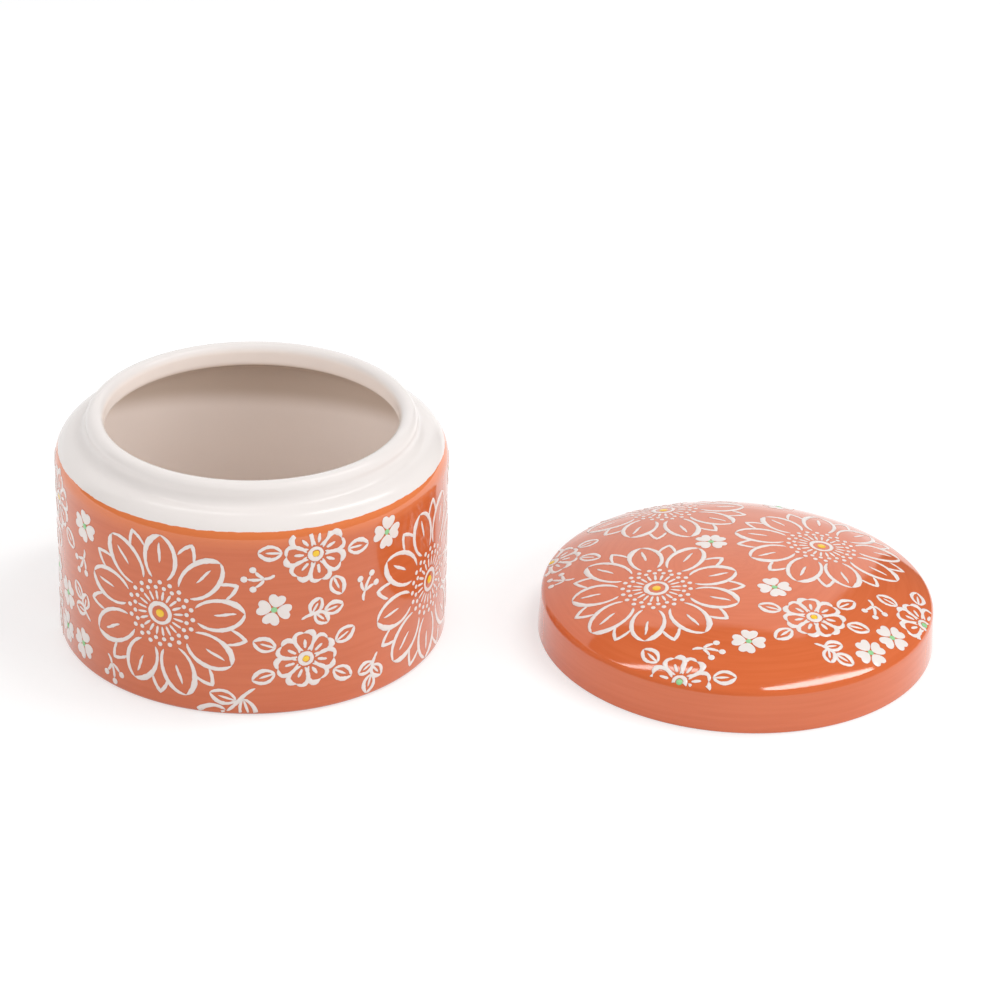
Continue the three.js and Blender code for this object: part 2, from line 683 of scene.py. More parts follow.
def draw_dogwood(pen: Pen, enamel: Enamel) -> None:
    """Draws a small solid blossom of four heart-shaped petals.

    Args:
        pen: The pen, held in its place.
        enamel: The enamel of its drop.
    """
    for i in range(4):
        right = bezier((0.8, 0.3), (2.0, 3.3), (5.8, 3.7), (5.4, 0.9), steps=8)
        left = [(x, -y) for x, y in reversed(right)]
        pen.fill([*right, (4.8, 0.0), *left], i * 90 + pen.rng.uniform(-4, 4))
    pen.drop(1.0, enamel)


def draw_sprig(pen: Pen, enamel: Enamel) -> None:
    """Draws a curved stem with two pairs of leaves and one at its tip.

    Args:
        pen: The pen, held in its place.
        enamel: Not used, because it has no drop.
    """
    reach, pairs = 12.0, 2
    stem = bezier((-3, -0.8), (reach * 0.3, 1.2), (reach * 0.7, 0.8), (reach, 0), steps=16)
    pen.brush(stem, swell=0.25, thin=0.75)
    for i in range(pairs):
        x = 0.8 + 5.4 * i
        pen.leaf((x, 0.75), 46, 7.6 - i, 2.2)
        pen.leaf((x + 1.2, 0.75), -46, 7.2 - i, 2.2)
    pen.leaf((reach, 0), 2, 7.2, 2.3)


def draw_twig(pen: Pen, enamel: Enamel) -> None:
    """Draws a short stem with three leaves.

    Args:
        pen: The pen, held in its place.
        enamel: Not used, because it has no drop.
    """
    stem = bezier((-5.0, -0.6), (-2.0, 0.8), (1.0, 0.4), (2.6, 0), steps=12)
    pen.brush(stem, swell=0.2, thin=0.72)
    pen.leaf((2.6, 0), 4, 6.4, 2.1)
    pen.leaf((-1.6, 0.4), 52, 6.0, 2.0)
    pen.leaf((-0.4, 0.4), -52, 5.8, 2.0)


def draw_berries(pen: Pen, enamel: Enamel) -> None:
    """Draws a little branch with three round berries.

    Args:
        pen: The pen, held in its place.
        enamel: Not used, because it has no drop.
    """
    pen.brush(bezier((-3.0, -0.9), (-2.0, 0), (-1.0, 0.2), (0.6, 0), steps=8), swell=0.2, thin=0.65)
    for bearing, reach in ((-44, 3.8), (-3, 5.4), (40, 4.2)):
        stem = bezier((0.4, 0), (reach * 0.4, 0.5), (reach * 0.7, 0.4), (reach, 0), steps=8)
        pen.brush(stem, bearing, swell=0.2, thin=0.65)
        pen.dot((reach + 1.0, 0), 1.2, bearing)


@dataclass(frozen=True)
class Figure:
    """How a motif is drawn, and the circles that cover it and keep other motifs away.

    One that may be cut may run over the edge of its sheet. Its drops take its enamels in turn.
    """

    draw: Callable[[Pen, Enamel], None]
    circles: tuple[Bead, ...]
    may_be_cut: bool = False
    enamels: tuple[Enamel, ...] = tuple(Enamel)

    def room(self, pen: Pen) -> list[Bead]:
        """Returns the circles that cover the motif where a pen would draw it."""
        return [Bead(pen.at(circle.place), circle.radius) for circle in self.circles]


FLOWER_ROOM = Bead((0, 0), 10.6)
LEAF_ROOM = tuple(Bead(turned_by((14.4, 0), bearing), 3.6) for bearing in COSMOS_LEAVES)


class Motif(Enum):
    """The flowers and leaves of the drawing."""

    BLOOM = Figure(draw_bloom, (Bead((0, 0), 28.2),))
    COSMOS = Figure(draw_cosmos, (FLOWER_ROOM, *LEAF_ROOM), may_be_cut=True)
    SMALL_COSMOS = Figure(draw_small_cosmos, (FLOWER_ROOM,), may_be_cut=True)
    TULIP = Figure(draw_tulip, (
        Bead((8, 0), 6.8), Bead((0, 0), 4), Bead((-9.5, 0), 1.5),
        Bead((-3, 5), 3.8), Bead((-2.2, -4.6), 3.5),
    ), may_be_cut=True)
    DOGWOOD = Figure(draw_dogwood, (Bead((0, 0), 5.9),), enamels=(Enamel.GREEN,))
    SPRIG = Figure(draw_sprig, (
        Bead((-2, 0), 1.8), Bead((3.8, 0), 5.6), Bead((9, 0), 5.2), Bead((15, 0), 3.6),
    ))
    TWIG = Figure(draw_twig, (Bead((-3.5, 0), 2), Bead((0.6, 0), 4.6), Bead((5.8, 0), 3.2)))
    BERRIES = Figure(draw_berries, (Bead((-1.8, -0.4), 1.4), Bead((3.4, 0), 4.3)))


@dataclass
class Layout:
    """Sets motifs down on a sheet so that none touches another."""

    sheet: Sheet
    rng: random.Random
    gap: float = 0.5
    tries: int = 1500
    drawing: Drawing = field(default_factory=Drawing)
    taken: list[Bead] = field(default_factory=list)

    def put_bloom(self, place: Point, turn: float) -> None:
        """Sets a big flower with a yellow drop down at a chosen place.

        Args:
            place: Its middle.
            turn: Angle that it is turned by.
        """
        pen = Pen(self.drawing, place, turn, self.rng)
        self.taken += Motif.BLOOM.value.room(pen)
        draw_bloom(pen, Enamel.YELLOW)

    def scatter(self, motif: Motif, most: int) -> None:
        """Sets a motif down wherever there is room for it, with its enamels taken in turn.

        Args:
            motif: The motif.
            most: How often it is drawn at most.
        """
        figure = motif.value
        count = 0
        for _ in range(self.tries):
            if count == most:
                break
            place, turn = self.sheet.anywhere(self.rng), self.rng.uniform(0, 360)
            pen = Pen(self.drawing, place, turn, self.rng, self.rng.random() < 0.5)
            room = figure.room(pen)
            if self._free(room) and (figure.may_be_cut or self._whole(room)):
                self.taken += room
                figure.draw(pen, figure.enamels[count % len(figure.enamels)])
                count += 1

    def _whole(self, room: list[Bead]) -> bool:
        """Says whether circles are inside the edge of the sheet."""
        edges = [ring(circle.place, circle.radius, steps=12) for circle in room]
        return all(self.sheet.holds(point) for edge in edges for point in edge)

    def _free(self, room: list[Bead]) -> bool:
        """Says whether circles keep clear of all those that are taken.

        Args:
            room: The circles.

        Returns:
            True where they do.
        """
        return all(
            self.sheet.apart(a.place, b.place) > a.radius + b.radius + self.gap
            for a in room
            for b in self.taken
        )


# Relief in slip and enamel


@dataclass(frozen=True)
class Relief:
    """Slip trailed on the clay, which stands up through the glaze that pools against its foot.

    On the jar's wall the glaze lies set_in behind the solid's face, and the slip takes up that space. A
    petal's side rises in steps, each given by how far it goes in, in mm, and up, as a share of the height.
    Facets are those round a dome, and those from pole to pole.
    """

    height: float = 0.14
    set_in: float = 0.26
    sunk: float = 0.07
    skirt: float = 0.18
    spread: float = 0.015
    petal_side: tuple[tuple[float, float], ...] = ((0.10, 0.2), (0.10, 0.6), (0.3, 0.2))
    petal_crown: float = 0.2
    dot_height: float = 0.17
    dot_facets: tuple[int, int] = (10, 6)
    drop_height: float = 0.26
    drop_facets: tuple[int, int] = (24, 12)
    weld: float = 0.0005
    seed: int = 5

    def section(self) -> list[Point]:
        """Works out the section of a line 1 mm wide.

        Returns:
            Its points, from one foot over the top to the other foot.
        """
        top = self.height
        foot = 0.5 + self.skirt
        right = [(0.28, top), (0.48, 0.4 * top), (foot, 0.03 * top), (foot + 0.04, -self.sunk)]
        return [(-x, y) for x, y in reversed(right)] + right

    def lines(self, strokes: list[Stroke], rng: random.Random) -> BMesh:
        """Sweeps the section along every stroke, on the flat sheet in mm.

        Args:
            strokes: The strokes.
            rng: Source of the small differences in height, so that crossing lines don't share a face.

        Returns:
            The lines as closed bodies.
        """
        section = bpy.data.curves.new("line_section", "CURVE")
        outline = section.splines.new("POLY")
        corners = self.section()
        outline.points.add(len(corners) - 1)
        for point, (x, y) in zip(outline.points, corners):
            point.co = (x, y, 0, 1)
        outline.use_cyclic_u = True
        section_holder = bpy.data.objects.new("line_section", section)
        curve = bpy.data.curves.new("lines", "CURVE")
        curve.dimensions = "3D"
        curve.twist_mode = "Z_UP"
        curve.bevel_mode = "OBJECT"
        curve.bevel_object = section_holder
        curve.use_fill_caps = True
        for stroke in strokes:
            spline = curve.splines.new("POLY")
            spline.points.add(len(stroke.points) - 1)
            level = rng.uniform(0, self.spread)
            for point, (x, y), width in zip(spline.points, stroke.points, stroke.widths):
                point.co = (x, y, level, 1)
                point.radius = width
            spline.use_cyclic_u = stroke.closed
        holder = bpy.data.objects.new("lines", curve)
        for thing in (section_holder, holder):
            bpy.context.scene.collection.objects.link(thing)
        mesh = bpy.data.meshes.new_from_object(holder.evaluated_get(bpy.context.evaluated_depsgraph_get()))
        bm = bmesh.new()
        bm.from_mesh(mesh)
        bmesh.ops.remove_doubles(bm, verts=bm.verts, dist=self.weld)
        for thing in (section_holder, holder):
            bpy.data.objects.remove(thing)
        bpy.data.meshes.remove(mesh)
        return bm

    def petals(self, outlines: list[list[Point]], rng: random.Random) -> BMesh:
        """Raises every outline into a low pad with sloping sides, on the flat sheet in mm.

        Args:
            outlines: The outlines.
            rng: Source of the small differences in height.

        Returns:
            The pads as closed bodies.
        """
        bm = bmesh.new()
        faces = []
        for outline in outlines:
            face = bm.faces.new([bm.verts.new((x, y, -self.sunk)) for x, y in outline])
            face.normal_update()
            if face.normal.z < 0:
                face.normal_flip()
            faces.append(face)
        made = bmesh.ops.extrude_face_region(bm, geom=faces)["geom"]
        tops = [item for item in made if isinstance(item, bmesh.types.BMFace)]
        for face in tops:
            bmesh.ops.translate(bm, verts=face.verts, vec=(0, 0, self.sunk + rng.uniform(0, self.spread)))
        for inwards, rise in self.petal_side:
            bmesh.ops.inset_individual(
                bm, faces=tops, thickness=inwards, depth=rise * self.height, use_even_offset=True
            )
        bmesh.ops.poke(bm, faces=tops, offset=self.petal_crown * self.height)
        return bm

    def beads(self, beads: list[Bead], height: float, facets: tuple[int, int]) -> BMesh:
        """Makes flattened domes, on the flat sheet in mm.

        Args:
            beads: Their places and radii.
            height: How far they stand up.
            facets: Facets round each one, and from pole to pole.

        Returns:
            The domes as closed bodies.
        """
        bm = bmesh.new()
        across, up = facets
        for bead in beads:
            squash = Matrix.Diagonal((bead.radius, bead.radius, height, 1))
            where = Matrix.Translation((*bead.place, 0))
            bmesh.ops.create_uvsphere(bm, u_segments=across, v_segments=up, radius=1, matrix=where @ squash)
        return bm


def settle(bm: BMesh, sheet: Sheet) -> None:
    """Wraps what was made on the flat sheet onto the object, with its lift kept on its vertices.

    Args:
        bm: The mesh, in mm on the flat sheet, changed to metres on the object.
        sheet: The sheet.
    """
    layer = bm.verts.layers.float.new("lift")
    for vert in bm.verts:
        vert[layer] = vert.co.z
        vert.co = sheet.place(*vert.co)
    bmesh.ops.recalc_face_normals(bm, faces=bm.faces)


def show(bm: BMesh, name: str, body: str, slot: str, finish: bpy.types.Material) -> bpy.types.Object:
    """Makes a piece of a mesh, and lets it ride on its body.

    Args:
        bm: The mesh, which is freed.
        name: The piece's name.
        body: The body that it moves with.
        slot: Not used.
        finish: Its material.

    Returns:
        The piece.
    """
    open_edges = sum(not edge.is_manifold for edge in bm.edges)
    mesh = bpy.data.meshes.new(name)
    bm.to_mesh(mesh)
    bm.free()
    for polygon in mesh.polygons:
        polygon.use_smooth = True
    mesh.materials.append(finish)
    piece = bpy.data.objects.new(name, mesh)
    bpy.context.scene.collection.objects.link(piece)
    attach(piece, body)
    mesh.calc_loop_triangles()
    log.info("%s: %d triangles, %d open edges", name, len(mesh.loop_triangles), open_edges)
    return piece


# Finishes


@dataclass(frozen=True)
class Grain:
    """How fine a noise is, and how much finer detail lies over it."""

    scale: float
    detail: float = 2.0


class Wiring:
    """Adds nodes to one node tree and links them."""

    def __init__(self, tree: bpy.types.NodeTree) -> None:
        """Works on a tree."""
        self.tree = tree

    def node(
        self, kind: str, inputs: dict[str | int, object] | None = None, **settings: object
    ) -> bpy.types.Node:
        """Adds a node.

        Args:
            kind: Its type.
            inputs: Values of its inputs, or sockets to link to them.
            **settings: Its properties.

        Returns:
            The node.
        """
        node = self.tree.nodes.new(kind)
        for name, value in settings.items():
            setattr(node, name, value)
        for name, value in (inputs or {}).items():
            if isinstance(value, bpy.types.NodeSocket):
                self.tree.links.new(value, node.inputs[name])
            else:
                node.inputs[name].default_value = value
        return node

    def math(self, operation: str, *values: object, clamp: bool = False) -> bpy.types.NodeSocket:
        """Adds a Math node on some values and returns its output."""
        node = self.node("ShaderNodeMath", dict(enumerate(values)), operation=operation, use_clamp=clamp)
        return node.outputs[0]

    def mix(self, share: object, a: object, b: object) -> bpy.types.NodeSocket:
        """Mixes two colours and returns the output."""
        node = self.node("ShaderNodeMix", {0: share, 6: a, 7: b}, data_type="RGBA")
        return node.outputs[2]

    def blend(self, share: object, a: object, b: object) -> bpy.types.NodeSocket:
        """Mixes two numbers and returns the output."""
        node = self.node("ShaderNodeMix", {0: share, 2: a, 3: b}, data_type="FLOAT")
        return node.outputs[0]

    def ramp(self, value: object, low: object, high: object) -> bpy.types.NodeSocket:
        """Goes smoothly from 0 at low to 1 at high and returns the output."""
        node = self.node("ShaderNodeMapRange", {0: value, 1: low, 2: high}, interpolation_type="SMOOTHSTEP")
        return node.outputs[0]

    def noise(self, place: object, grain: Grain) -> bpy.types.NodeSocket:
        """Adds a noise about 0.5 and returns its value."""
        inputs = {"Vector": place, "Scale": grain.scale, "Detail": grain.detail, "Roughness": 0.55}
        return self.node("ShaderNodeTexNoise", inputs, noise_dimensions="3D").outputs[0]

    def attribute(self, name: str) -> bpy.types.NodeSocket:
        """Reads a number kept on the mesh."""
        return self.node("ShaderNodeAttribute", attribute_name=name).outputs["Fac"]


class MaterialWiring(Wiring):
    """Wires a new material, from an empty tree to its shader."""

    def __init__(self, name: str) -> None:
        """Makes the material.

        Args:
            name: Its name.
        """
        self.material = bpy.data.materials.new(name)
        self.material.use_nodes = True
        self.material.node_tree.nodes.clear()
        super().__init__(self.material.node_tree)

    def place(self) -> bpy.types.NodeSocket:
        """Reads the place in the frame of the whole object."""
        return self.node("ShaderNodeTexCoord").outputs["Object"]

    def bump(self, height: bpy.types.NodeSocket, strength: float, distance: float) -> bpy.types.NodeSocket:
        """Tilts the surface by a height from 0 to 1 over a distance in mm, and returns the normal."""
        inputs = {"Height": height, "Strength": strength, "Distance": distance * MM}
        return self.node("ShaderNodeBump", inputs).outputs[0]

    def finished(self, inputs: dict[str, object]) -> bpy.types.Material:
        """Adds the shader.

        Args:
            inputs: Values of its inputs, or sockets to link to them.

        Returns:
            The material.
        """
        shader = self.node("ShaderNodeBsdfPrincipled", inputs)
        self.node("ShaderNodeOutputMaterial", {"Surface": shader.outputs[0]})
        return self.material


def new_group(
    name: str, inputs: dict[str, str], outputs: dict[str, str]
) -> tuple[bpy.types.NodeTree, Wiring]:
    """Makes an empty node group with named sockets.

    Args:
        name: Its name.
        inputs: Names and types of its inputs.
        outputs: Names and types of its outputs.

    Returns:
        The group, and a wiring for what goes in it.
    """
    group = bpy.data.node_groups.new(name, "ShaderNodeTree")
    for direction, sockets in (("INPUT", inputs), ("OUTPUT", outputs)):
        for socket, kind in sockets.items():
            group.interface.new_socket(name=socket, in_out=direction, socket_type=kind)
    return group, Wiring(group)


def shade(colour: Colour, share: float) -> Colour:
    """Returns a share of a colour."""
    return (*(share * part for part in colour[:3]), 1)


FLOAT, VECTOR = "NodeSocketFloat", "NodeSocketVector"
GLASS_IOR = 1.5
WHITE: Colour = (1, 1, 1, 1)

# A noise mostly stays this near to 0.5
NOISE_REACH = 0.25


@dataclass(frozen=True)
class BrushMarks:
    """Streaks round a turned piece: how fast they change along the run, per mm, and their grain."""

    rate: float
    grain: Grain


@dataclass(frozen=True)
class BrushedCoat:
    """Glaze brushed on a turning wheel, in broad and narrow streaks with clouds among them.

    Nearer the axis than least_reach, in metres, the streaks run together. The noises of the streaks and of
    the clouds are each spread from 0 to 1 over a span.
    """

    broad: BrushMarks = BrushMarks(0.30, Grain(2.2, 1.5))
    narrow: BrushMarks = BrushMarks(1.3, Grain(2.6))
    narrow_share: float = 0.25
    streak_span: Span = (0.36, 0.64)
    cloud_grain: Grain = Grain(26.0)
    cloud_span: Span = (0.3, 0.7)
    least_reach: float = 0.004

    def group(self) -> bpy.types.NodeTree:
        """Builds the node group.

        Returns:
            A group that takes the place about the piece's axis in metres and the run in mm, and puts out
            streaks and clouds from 0 to 1, and the height of the brush's furrows.
        """
        outputs = {"Streak": FLOAT, "Cloud": FLOAT, "Furrow": FLOAT}
        group, wires = new_group("brushed_coat", {"Place": VECTOR, "Run": FLOAT}, outputs)
        given = wires.node("NodeGroupInput")
        apart = wires.node("ShaderNodeSeparateXYZ", {0: given.outputs["Place"]})
        x, y = apart.outputs[0], apart.outputs[1]
        squares = wires.math("ADD", wires.math("MULTIPLY", x, x), wires.math("MULTIPLY", y, y))
        reach = wires.math("MAXIMUM", wires.math("SQRT", squares), self.least_reach)
        around = [wires.math("DIVIDE", axis, reach) for axis in (x, y)]
        broad, narrow = (
            self._marks(wires, around, given.outputs["Run"], marks) for marks in (self.broad, self.narrow)
        )
        streak = wires.blend(self.narrow_share, broad, narrow)
        cloud = wires.noise(given.outputs["Place"], self.cloud_grain)
        wires.node("NodeGroupOutput", {
            "Streak": wires.ramp(streak, *self.streak_span),
            "Cloud": wires.ramp(cloud, *self.cloud_span),
            "Furrow": narrow,
        })
        return group

    @staticmethod
    def _marks(
        wires: Wiring, around: list[bpy.types.NodeSocket], run: bpy.types.NodeSocket, marks: BrushMarks
    ) -> bpy.types.NodeSocket:
        """Lays streaks round the axis.

        Args:
            wires: The wiring of the group.
            around: Cosine and sine of the angle round the axis.
            run: The run in mm.
            marks: The streaks.

        Returns:
            Their noise.
        """
        along = wires.math("MULTIPLY", run, marks.rate)
        place = wires.node("ShaderNodeCombineXYZ", {0: around[0], 1: around[1], 2: along})
        return wires.noise(place.outputs[0], marks.grain)


@dataclass(frozen=True)
class CoatZones:
    """Where a turned piece is orange, bare, white or cream, as runs in mm along its meridian.

    The inside glaze grows from cream_none to cream_full. Over the shade zone it is painted darker, as
    painted shade under the overhanging lip. Both slants are given along x and y, in mm over the radius: the
    piece was dipped askew, so the coat starts lower by lean, and the painted shade reaches lower down on
    one side by its own slant. Unless they are given, the shade zone's limits lie past the end of the
    profile, and nothing is shaded.
    """

    coat_start: float
    coat_end: float
    bare_end: float
    cream_none: float
    cream_full: float
    radius: float
    # Where the painted shade under the jar's lip starts and ends.
    shade_from: float = 200.0
    shade_to: float = 201.0
    lean: Point = (0.0, 0.0)
    # How much lower the painted shade reaches on one side.
    shade_slant: Point = (0.0, 0.0)
    waver: float = 0.22


@dataclass(frozen=True)
class StonewareGlaze:
    """Glossy glaze on stoneware.

    It is brushed orange outside and warm white elsewhere, and bare clay is left where the piece stands. The
    top of the orange coat is lightened as painted light, and the inside glaze is lightened as painted light
    and darkened under the jar's lip as painted shade.
    """

    name: str
    zones: CoatZones
    axis_x: float
    tone: float = 1.0
    orange: Colour = (0.66, 0.148, 0.048, 1)
    deep: Colour = (0.615, 0.127, 0.037, 1)
    # Painted light: a lighter orange along the top edge of the coat, where the curved shoulder catches the
    # light, over this width in mm.
    lit_top_orange: Colour = (0.735, 0.20, 0.064, 1)
    lit_top_width: float = 7.5
    white: Colour = (0.79, 0.74, 0.715, 1)
    # The inside glaze's warm tint is its own. It is painted lighter than the outside white as painted
    # light, for the light that gets into the jar.
    lit_cream: Colour = (0.925, 0.83, 0.77, 1)
    # Painted shade: the inside glaze is darkened to this colour under the jar's lip, fading in and out over
    # the two lengths below.
    shaded_cream: Colour = (0.60, 0.49, 0.41, 1)
    shade_fade: float = 8.0
    shade_end_fade: float = 2.0
    clay: Colour = (0.56, 0.45, 0.35, 1)
    coat_roughness: float = 0.06
    white_roughness: float = 0.2
    clay_roughness: float = 0.8
    clear_coat: float = 0.4
    edge: float = 0.06
    edge_grain: Grain = Grain(260.0, 3.0)
    streak_share: float = 0.65
    cloud_shade: float = 0.97
    clay_grain: Grain = Grain(1400.0, 3.0)
    clay_shade: float = 0.8
    furrow_share: float = 0.2
    swell_grain: Grain = Grain(60.0, 1.0)

    def material(self, coat: bpy.types.NodeTree) -> bpy.types.Material:
        """Builds the material.

        Args:
            coat: The brushed coat group.

        Returns:
            The material.
        """
        zones = self.zones
        wires = MaterialWiring(self.name)
        to_axis = {"Vector": wires.place(), "Location": (-self.axis_x * MM, 0, 0)}
        centred = wires.node("ShaderNodeMapping", to_axis).outputs[0]
        run = wires.attribute("run")
        brushed = wires.node("ShaderNodeGroup", node_tree=coat)
        wires.tree.links.new(centred, brushed.inputs["Place"])
        wires.tree.links.new(run, brushed.inputs["Run"])
        streak, cloud, furrow = (brushed.outputs[name] for name in ("Streak", "Cloud", "Furrow"))

        wander = wires.math("SUBTRACT", wires.noise(centred, self.edge_grain), 0.5)
        wavering = wires.math("ADD", run, wires.math("MULTIPLY", wander, zones.waver / NOISE_REACH))
        top_edge = wires.math("SUBTRACT", wavering, self._slant(wires, centred, zones.lean))
        started = self._past(wires, top_edge, zones.coat_start)
        ended = self._past(wires, wavering, zones.coat_end)
        coated = wires.math("SUBTRACT", started, ended, clamp=True)
        bare = wires.math("SUBTRACT", ended, self._past(wires, wavering, zones.bare_end), clamp=True)

        streaks = wires.math("MULTIPLY", streak, self.streak_share)
        tone = wires.math("ADD", streaks, wires.math("MULTIPLY", cloud, 1 - self.streak_share))
        # Painted light along the top edge of the orange coat.
        lit_top = wires.ramp(top_edge, zones.coat_start + self.lit_top_width, zones.coat_start)
        coat_tone = wires.mix(tone, shade(self.deep, self.tone), shade(self.orange, self.tone))
        orange = wires.mix(lit_top, coat_tone, self.lit_top_orange)
        speckle = wires.noise(centred, self.clay_grain)
        clay_tone = wires.mix(speckle, self.clay, shade(self.clay, self.clay_shade))
        white_tone = wires.mix(cloud, shade(self.white, self.cloud_shade), self.white)
        # Painted shade under the jar's lip: the inside glaze darkens over the shade zone, lower down on one
        # side.
        shade_slant = wires.math("ADD", run, self._slant(wires, centred, zones.shade_slant))
        shade_in = wires.ramp(shade_slant, zones.shade_from - self.shade_fade, zones.shade_from)
        shade_out = wires.ramp(run, zones.shade_to, zones.shade_to + self.shade_end_fade)
        thin = wires.math("SUBTRACT", shade_in, shade_out, clamp=True)
        # The inside glaze, painted lighter as painted light, with the painted shade mixed in.
        lit_cream = wires.mix(thin, self.lit_cream, self.shaded_cream)
        white_tone = wires.mix(wires.ramp(run, zones.cream_none, zones.cream_full), white_tone, lit_cream)

        glazed = wires.blend(coated, self.white_roughness, self.coat_roughness)
        furrows = wires.math("MULTIPLY", furrow, self.furrow_share)
        height = wires.math("ADD", furrows, wires.noise(centred, self.swell_grain))
        return wires.finished({
            "Base Color": wires.mix(bare, wires.mix(coated, white_tone, orange), clay_tone),
            "Roughness": wires.blend(bare, glazed, self.clay_roughness),
            "Normal": wires.bump(height, strength=0.5, distance=0.05),
            "IOR": GLASS_IOR,
            "Coat Weight": wires.math("MULTIPLY", coated, self.clear_coat),
            "Coat Roughness": self.coat_roughness,
        })

    def _past(self, wires: Wiring, run: bpy.types.NodeSocket, limit: float) -> bpy.types.NodeSocket:
        """Goes from 0 to 1 where the run passes a limit."""
        return wires.ramp(run, limit - self.edge, limit + self.edge)

    def _slant(self, wires: Wiring, centred: bpy.types.NodeSocket, slant: Point) -> bpy.types.NodeSocket:
        """Works out how much later a slanting edge comes.

        Args:
            wires: The wiring of the material.
            centred: The place about the piece's axis.
            slant: The slant along x and y, in mm over the radius.

        Returns:
            The length in mm.
        """
        rates = [share / (self.zones.radius * MM) for share in slant]
        node = wires.node("ShaderNodeVectorMath", {0: centred, 1: (*rates, 0)}, operation="DOT_PRODUCT")
        return node.outputs["Value"]


@dataclass(frozen=True)
class SlipFinish:
    """White slip under clear glaze, stained where the orange pools against its foot.

    It is wholly stained below the start of stain_span and clean from its end, as lifts in mm.
    """

    name: str = "white_slip"
    white: Colour = (0.80, 0.735, 0.70, 1)
    stain: Colour = (0.56, 0.105, 0.028, 1)
    stain_span: Span = (0.02, 0.07)
    stain_grain: Grain = Grain(1500.0)
    stain_waver: float = 0.01
    cloud_grain: Grain = Grain(220.0)
    cloud_shade: float = 0.93
    gloss: float = 0.1

    def material(self) -> bpy.types.Material:
        """Builds the material.

        Returns:
            The material.
        """
        wires = MaterialWiring(self.name)
        place = wires.place()
        wander = wires.math("SUBTRACT", wires.noise(place, self.stain_grain), 0.5)
        uneven = wires.math("MULTIPLY", wander, self.stain_waver / NOISE_REACH)
        clean = wires.ramp(wires.math("ADD", wires.attribute("lift"), uneven), *self.stain_span)
        cloud = wires.noise(place, self.cloud_grain)
        white = wires.mix(cloud, shade(self.white, self.cloud_shade), self.white)
        return wires.finished({
            "Base Color": wires.mix(clean, self.stain, white),
            "Roughness": self.gloss,
            "Normal": wires.bump(cloud, strength=0.4, distance=0.03),
            "IOR": GLASS_IOR,
        })


@dataclass(frozen=True)
class EnamelFinish:
    """A drop of thick coloured enamel, darker at its foot.

    The foot's shade ends within foot_span, as lifts in mm.
    """

    name: str
    colour: Colour
    cloud_grain: Grain = Grain(900.0)
    cloud_shade: float = 0.85
    foot_shade: float = 0.8
    foot_span: Span = (0.02, 0.2)
    gloss: float = 0.12

    def material(self) -> bpy.types.Material:
        """Builds the material.

        Returns:
            The material.
        """
        wires = MaterialWiring(self.name)
        cloud = wires.noise(wires.place(), self.cloud_grain)
        body = wires.mix(cloud, shade(self.colour, self.cloud_shade), self.colour)
        top = wires.ramp(wires.attribute("lift"), *self.foot_span)
        return wires.finished({
            "Base Color": wires.mix(top, shade(self.colour, self.foot_shade), body),
            "Roughness": self.gloss,
            "Normal": wires.bump(cloud, strength=0.3, distance=0.03),
            "IOR": GLASS_IOR,
        })


@dataclass
class Palette:
    """The finishes that both pieces share."""

    coat: bpy.types.NodeTree
    slip: bpy.types.Material
    enamels: dict[Enamel, bpy.types.Material]

    @classmethod
    def mixed(cls) -> "Palette":
        """Builds the shared finishes.

        Returns:
            The palette.
        """
        colours = {Enamel.YELLOW: (0.95, 0.60, 0.04, 1), Enamel.GREEN: (0.30, 0.64, 0.30, 1)}
        enamels = {e: EnamelFinish(f"{e.value}_enamel", colour).material() for e, colour in colours.items()}
        return cls(BrushedCoat().group(), SlipFinish().material(), enamels)


# The two pieces


class Ware(ABC):
    """A turned piece with its decoration.

    The plan names its smaller flowers and leaves in the order that they are set down, each with how often
    it is drawn at most. No motif is set down over a quiet circle.
    """

    body: str
    node: str
    slot: str
    tone: float
    relief: Relief
    form: Turned
    seed: int
    quiet: tuple[Bead, ...]
    plan: tuple[tuple[Motif, int], ...]

    @abstractmethod
    def zones(self) -> CoatZones:
        """Works out where its coats begin and end."""

    @abstractmethod
    def sheet(self) -> Sheet:
        """Works out the sheet that its flowers are drawn on."""

    @abstractmethod
    def blooms(self) -> list[tuple[Point, float]]:
        """Chooses the middles and turns of its big flowers."""

    def drawing(self) -> Drawing:
        """Draws its big flowers, and smaller ones in the gaps between them.

        Returns:
            The drawing.
        """
        layout = Layout(self.sheet(), random.Random(self.seed), taken=list(self.quiet))
        for place, turn in self.blooms():
            layout.put_bloom(place, turn)
        for motif, most in self.plan:
            layout.scatter(motif, most)
        return layout.drawing

    def build(self, palette: Palette) -> None:
        """Builds and dresses the turned piece, and then everything that stands on it.

        Args:
            palette: The finishes that both pieces share.
        """
        glaze = StonewareGlaze(self.slot, self.zones(), self.form.axis_x, self.tone).material(palette.coat)
        piece = show(self.form.spin(), f"{self.body}_stoneware", self.body, self.slot, glaze)
        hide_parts(self.node)
        relief = self.relief
        rng = random.Random(relief.seed)
        sheet = self.sheet()
        drawing = self.drawing().clipped(sheet)
        made = {
            "lines": relief.lines(drawing.strokes, rng),
            "petals": relief.petals(drawing.petals, rng),
            "dots": relief.beads(drawing.dots, relief.dot_height, relief.dot_facets),
        }
        for name, bm in made.items():
            settle(bm, sheet)
            show(bm, f"{self.body}_slip_{name}", self.body, self.slot, palette.slip)
        for enamel, beads in drawing.drops.items():
            bm = relief.beads(beads, relief.drop_height, relief.drop_facets)
            settle(bm, sheet)
            show(bm, f"{self.body}_{enamel.value}_drops", self.body, self.slot, palette.enamels[enamel])


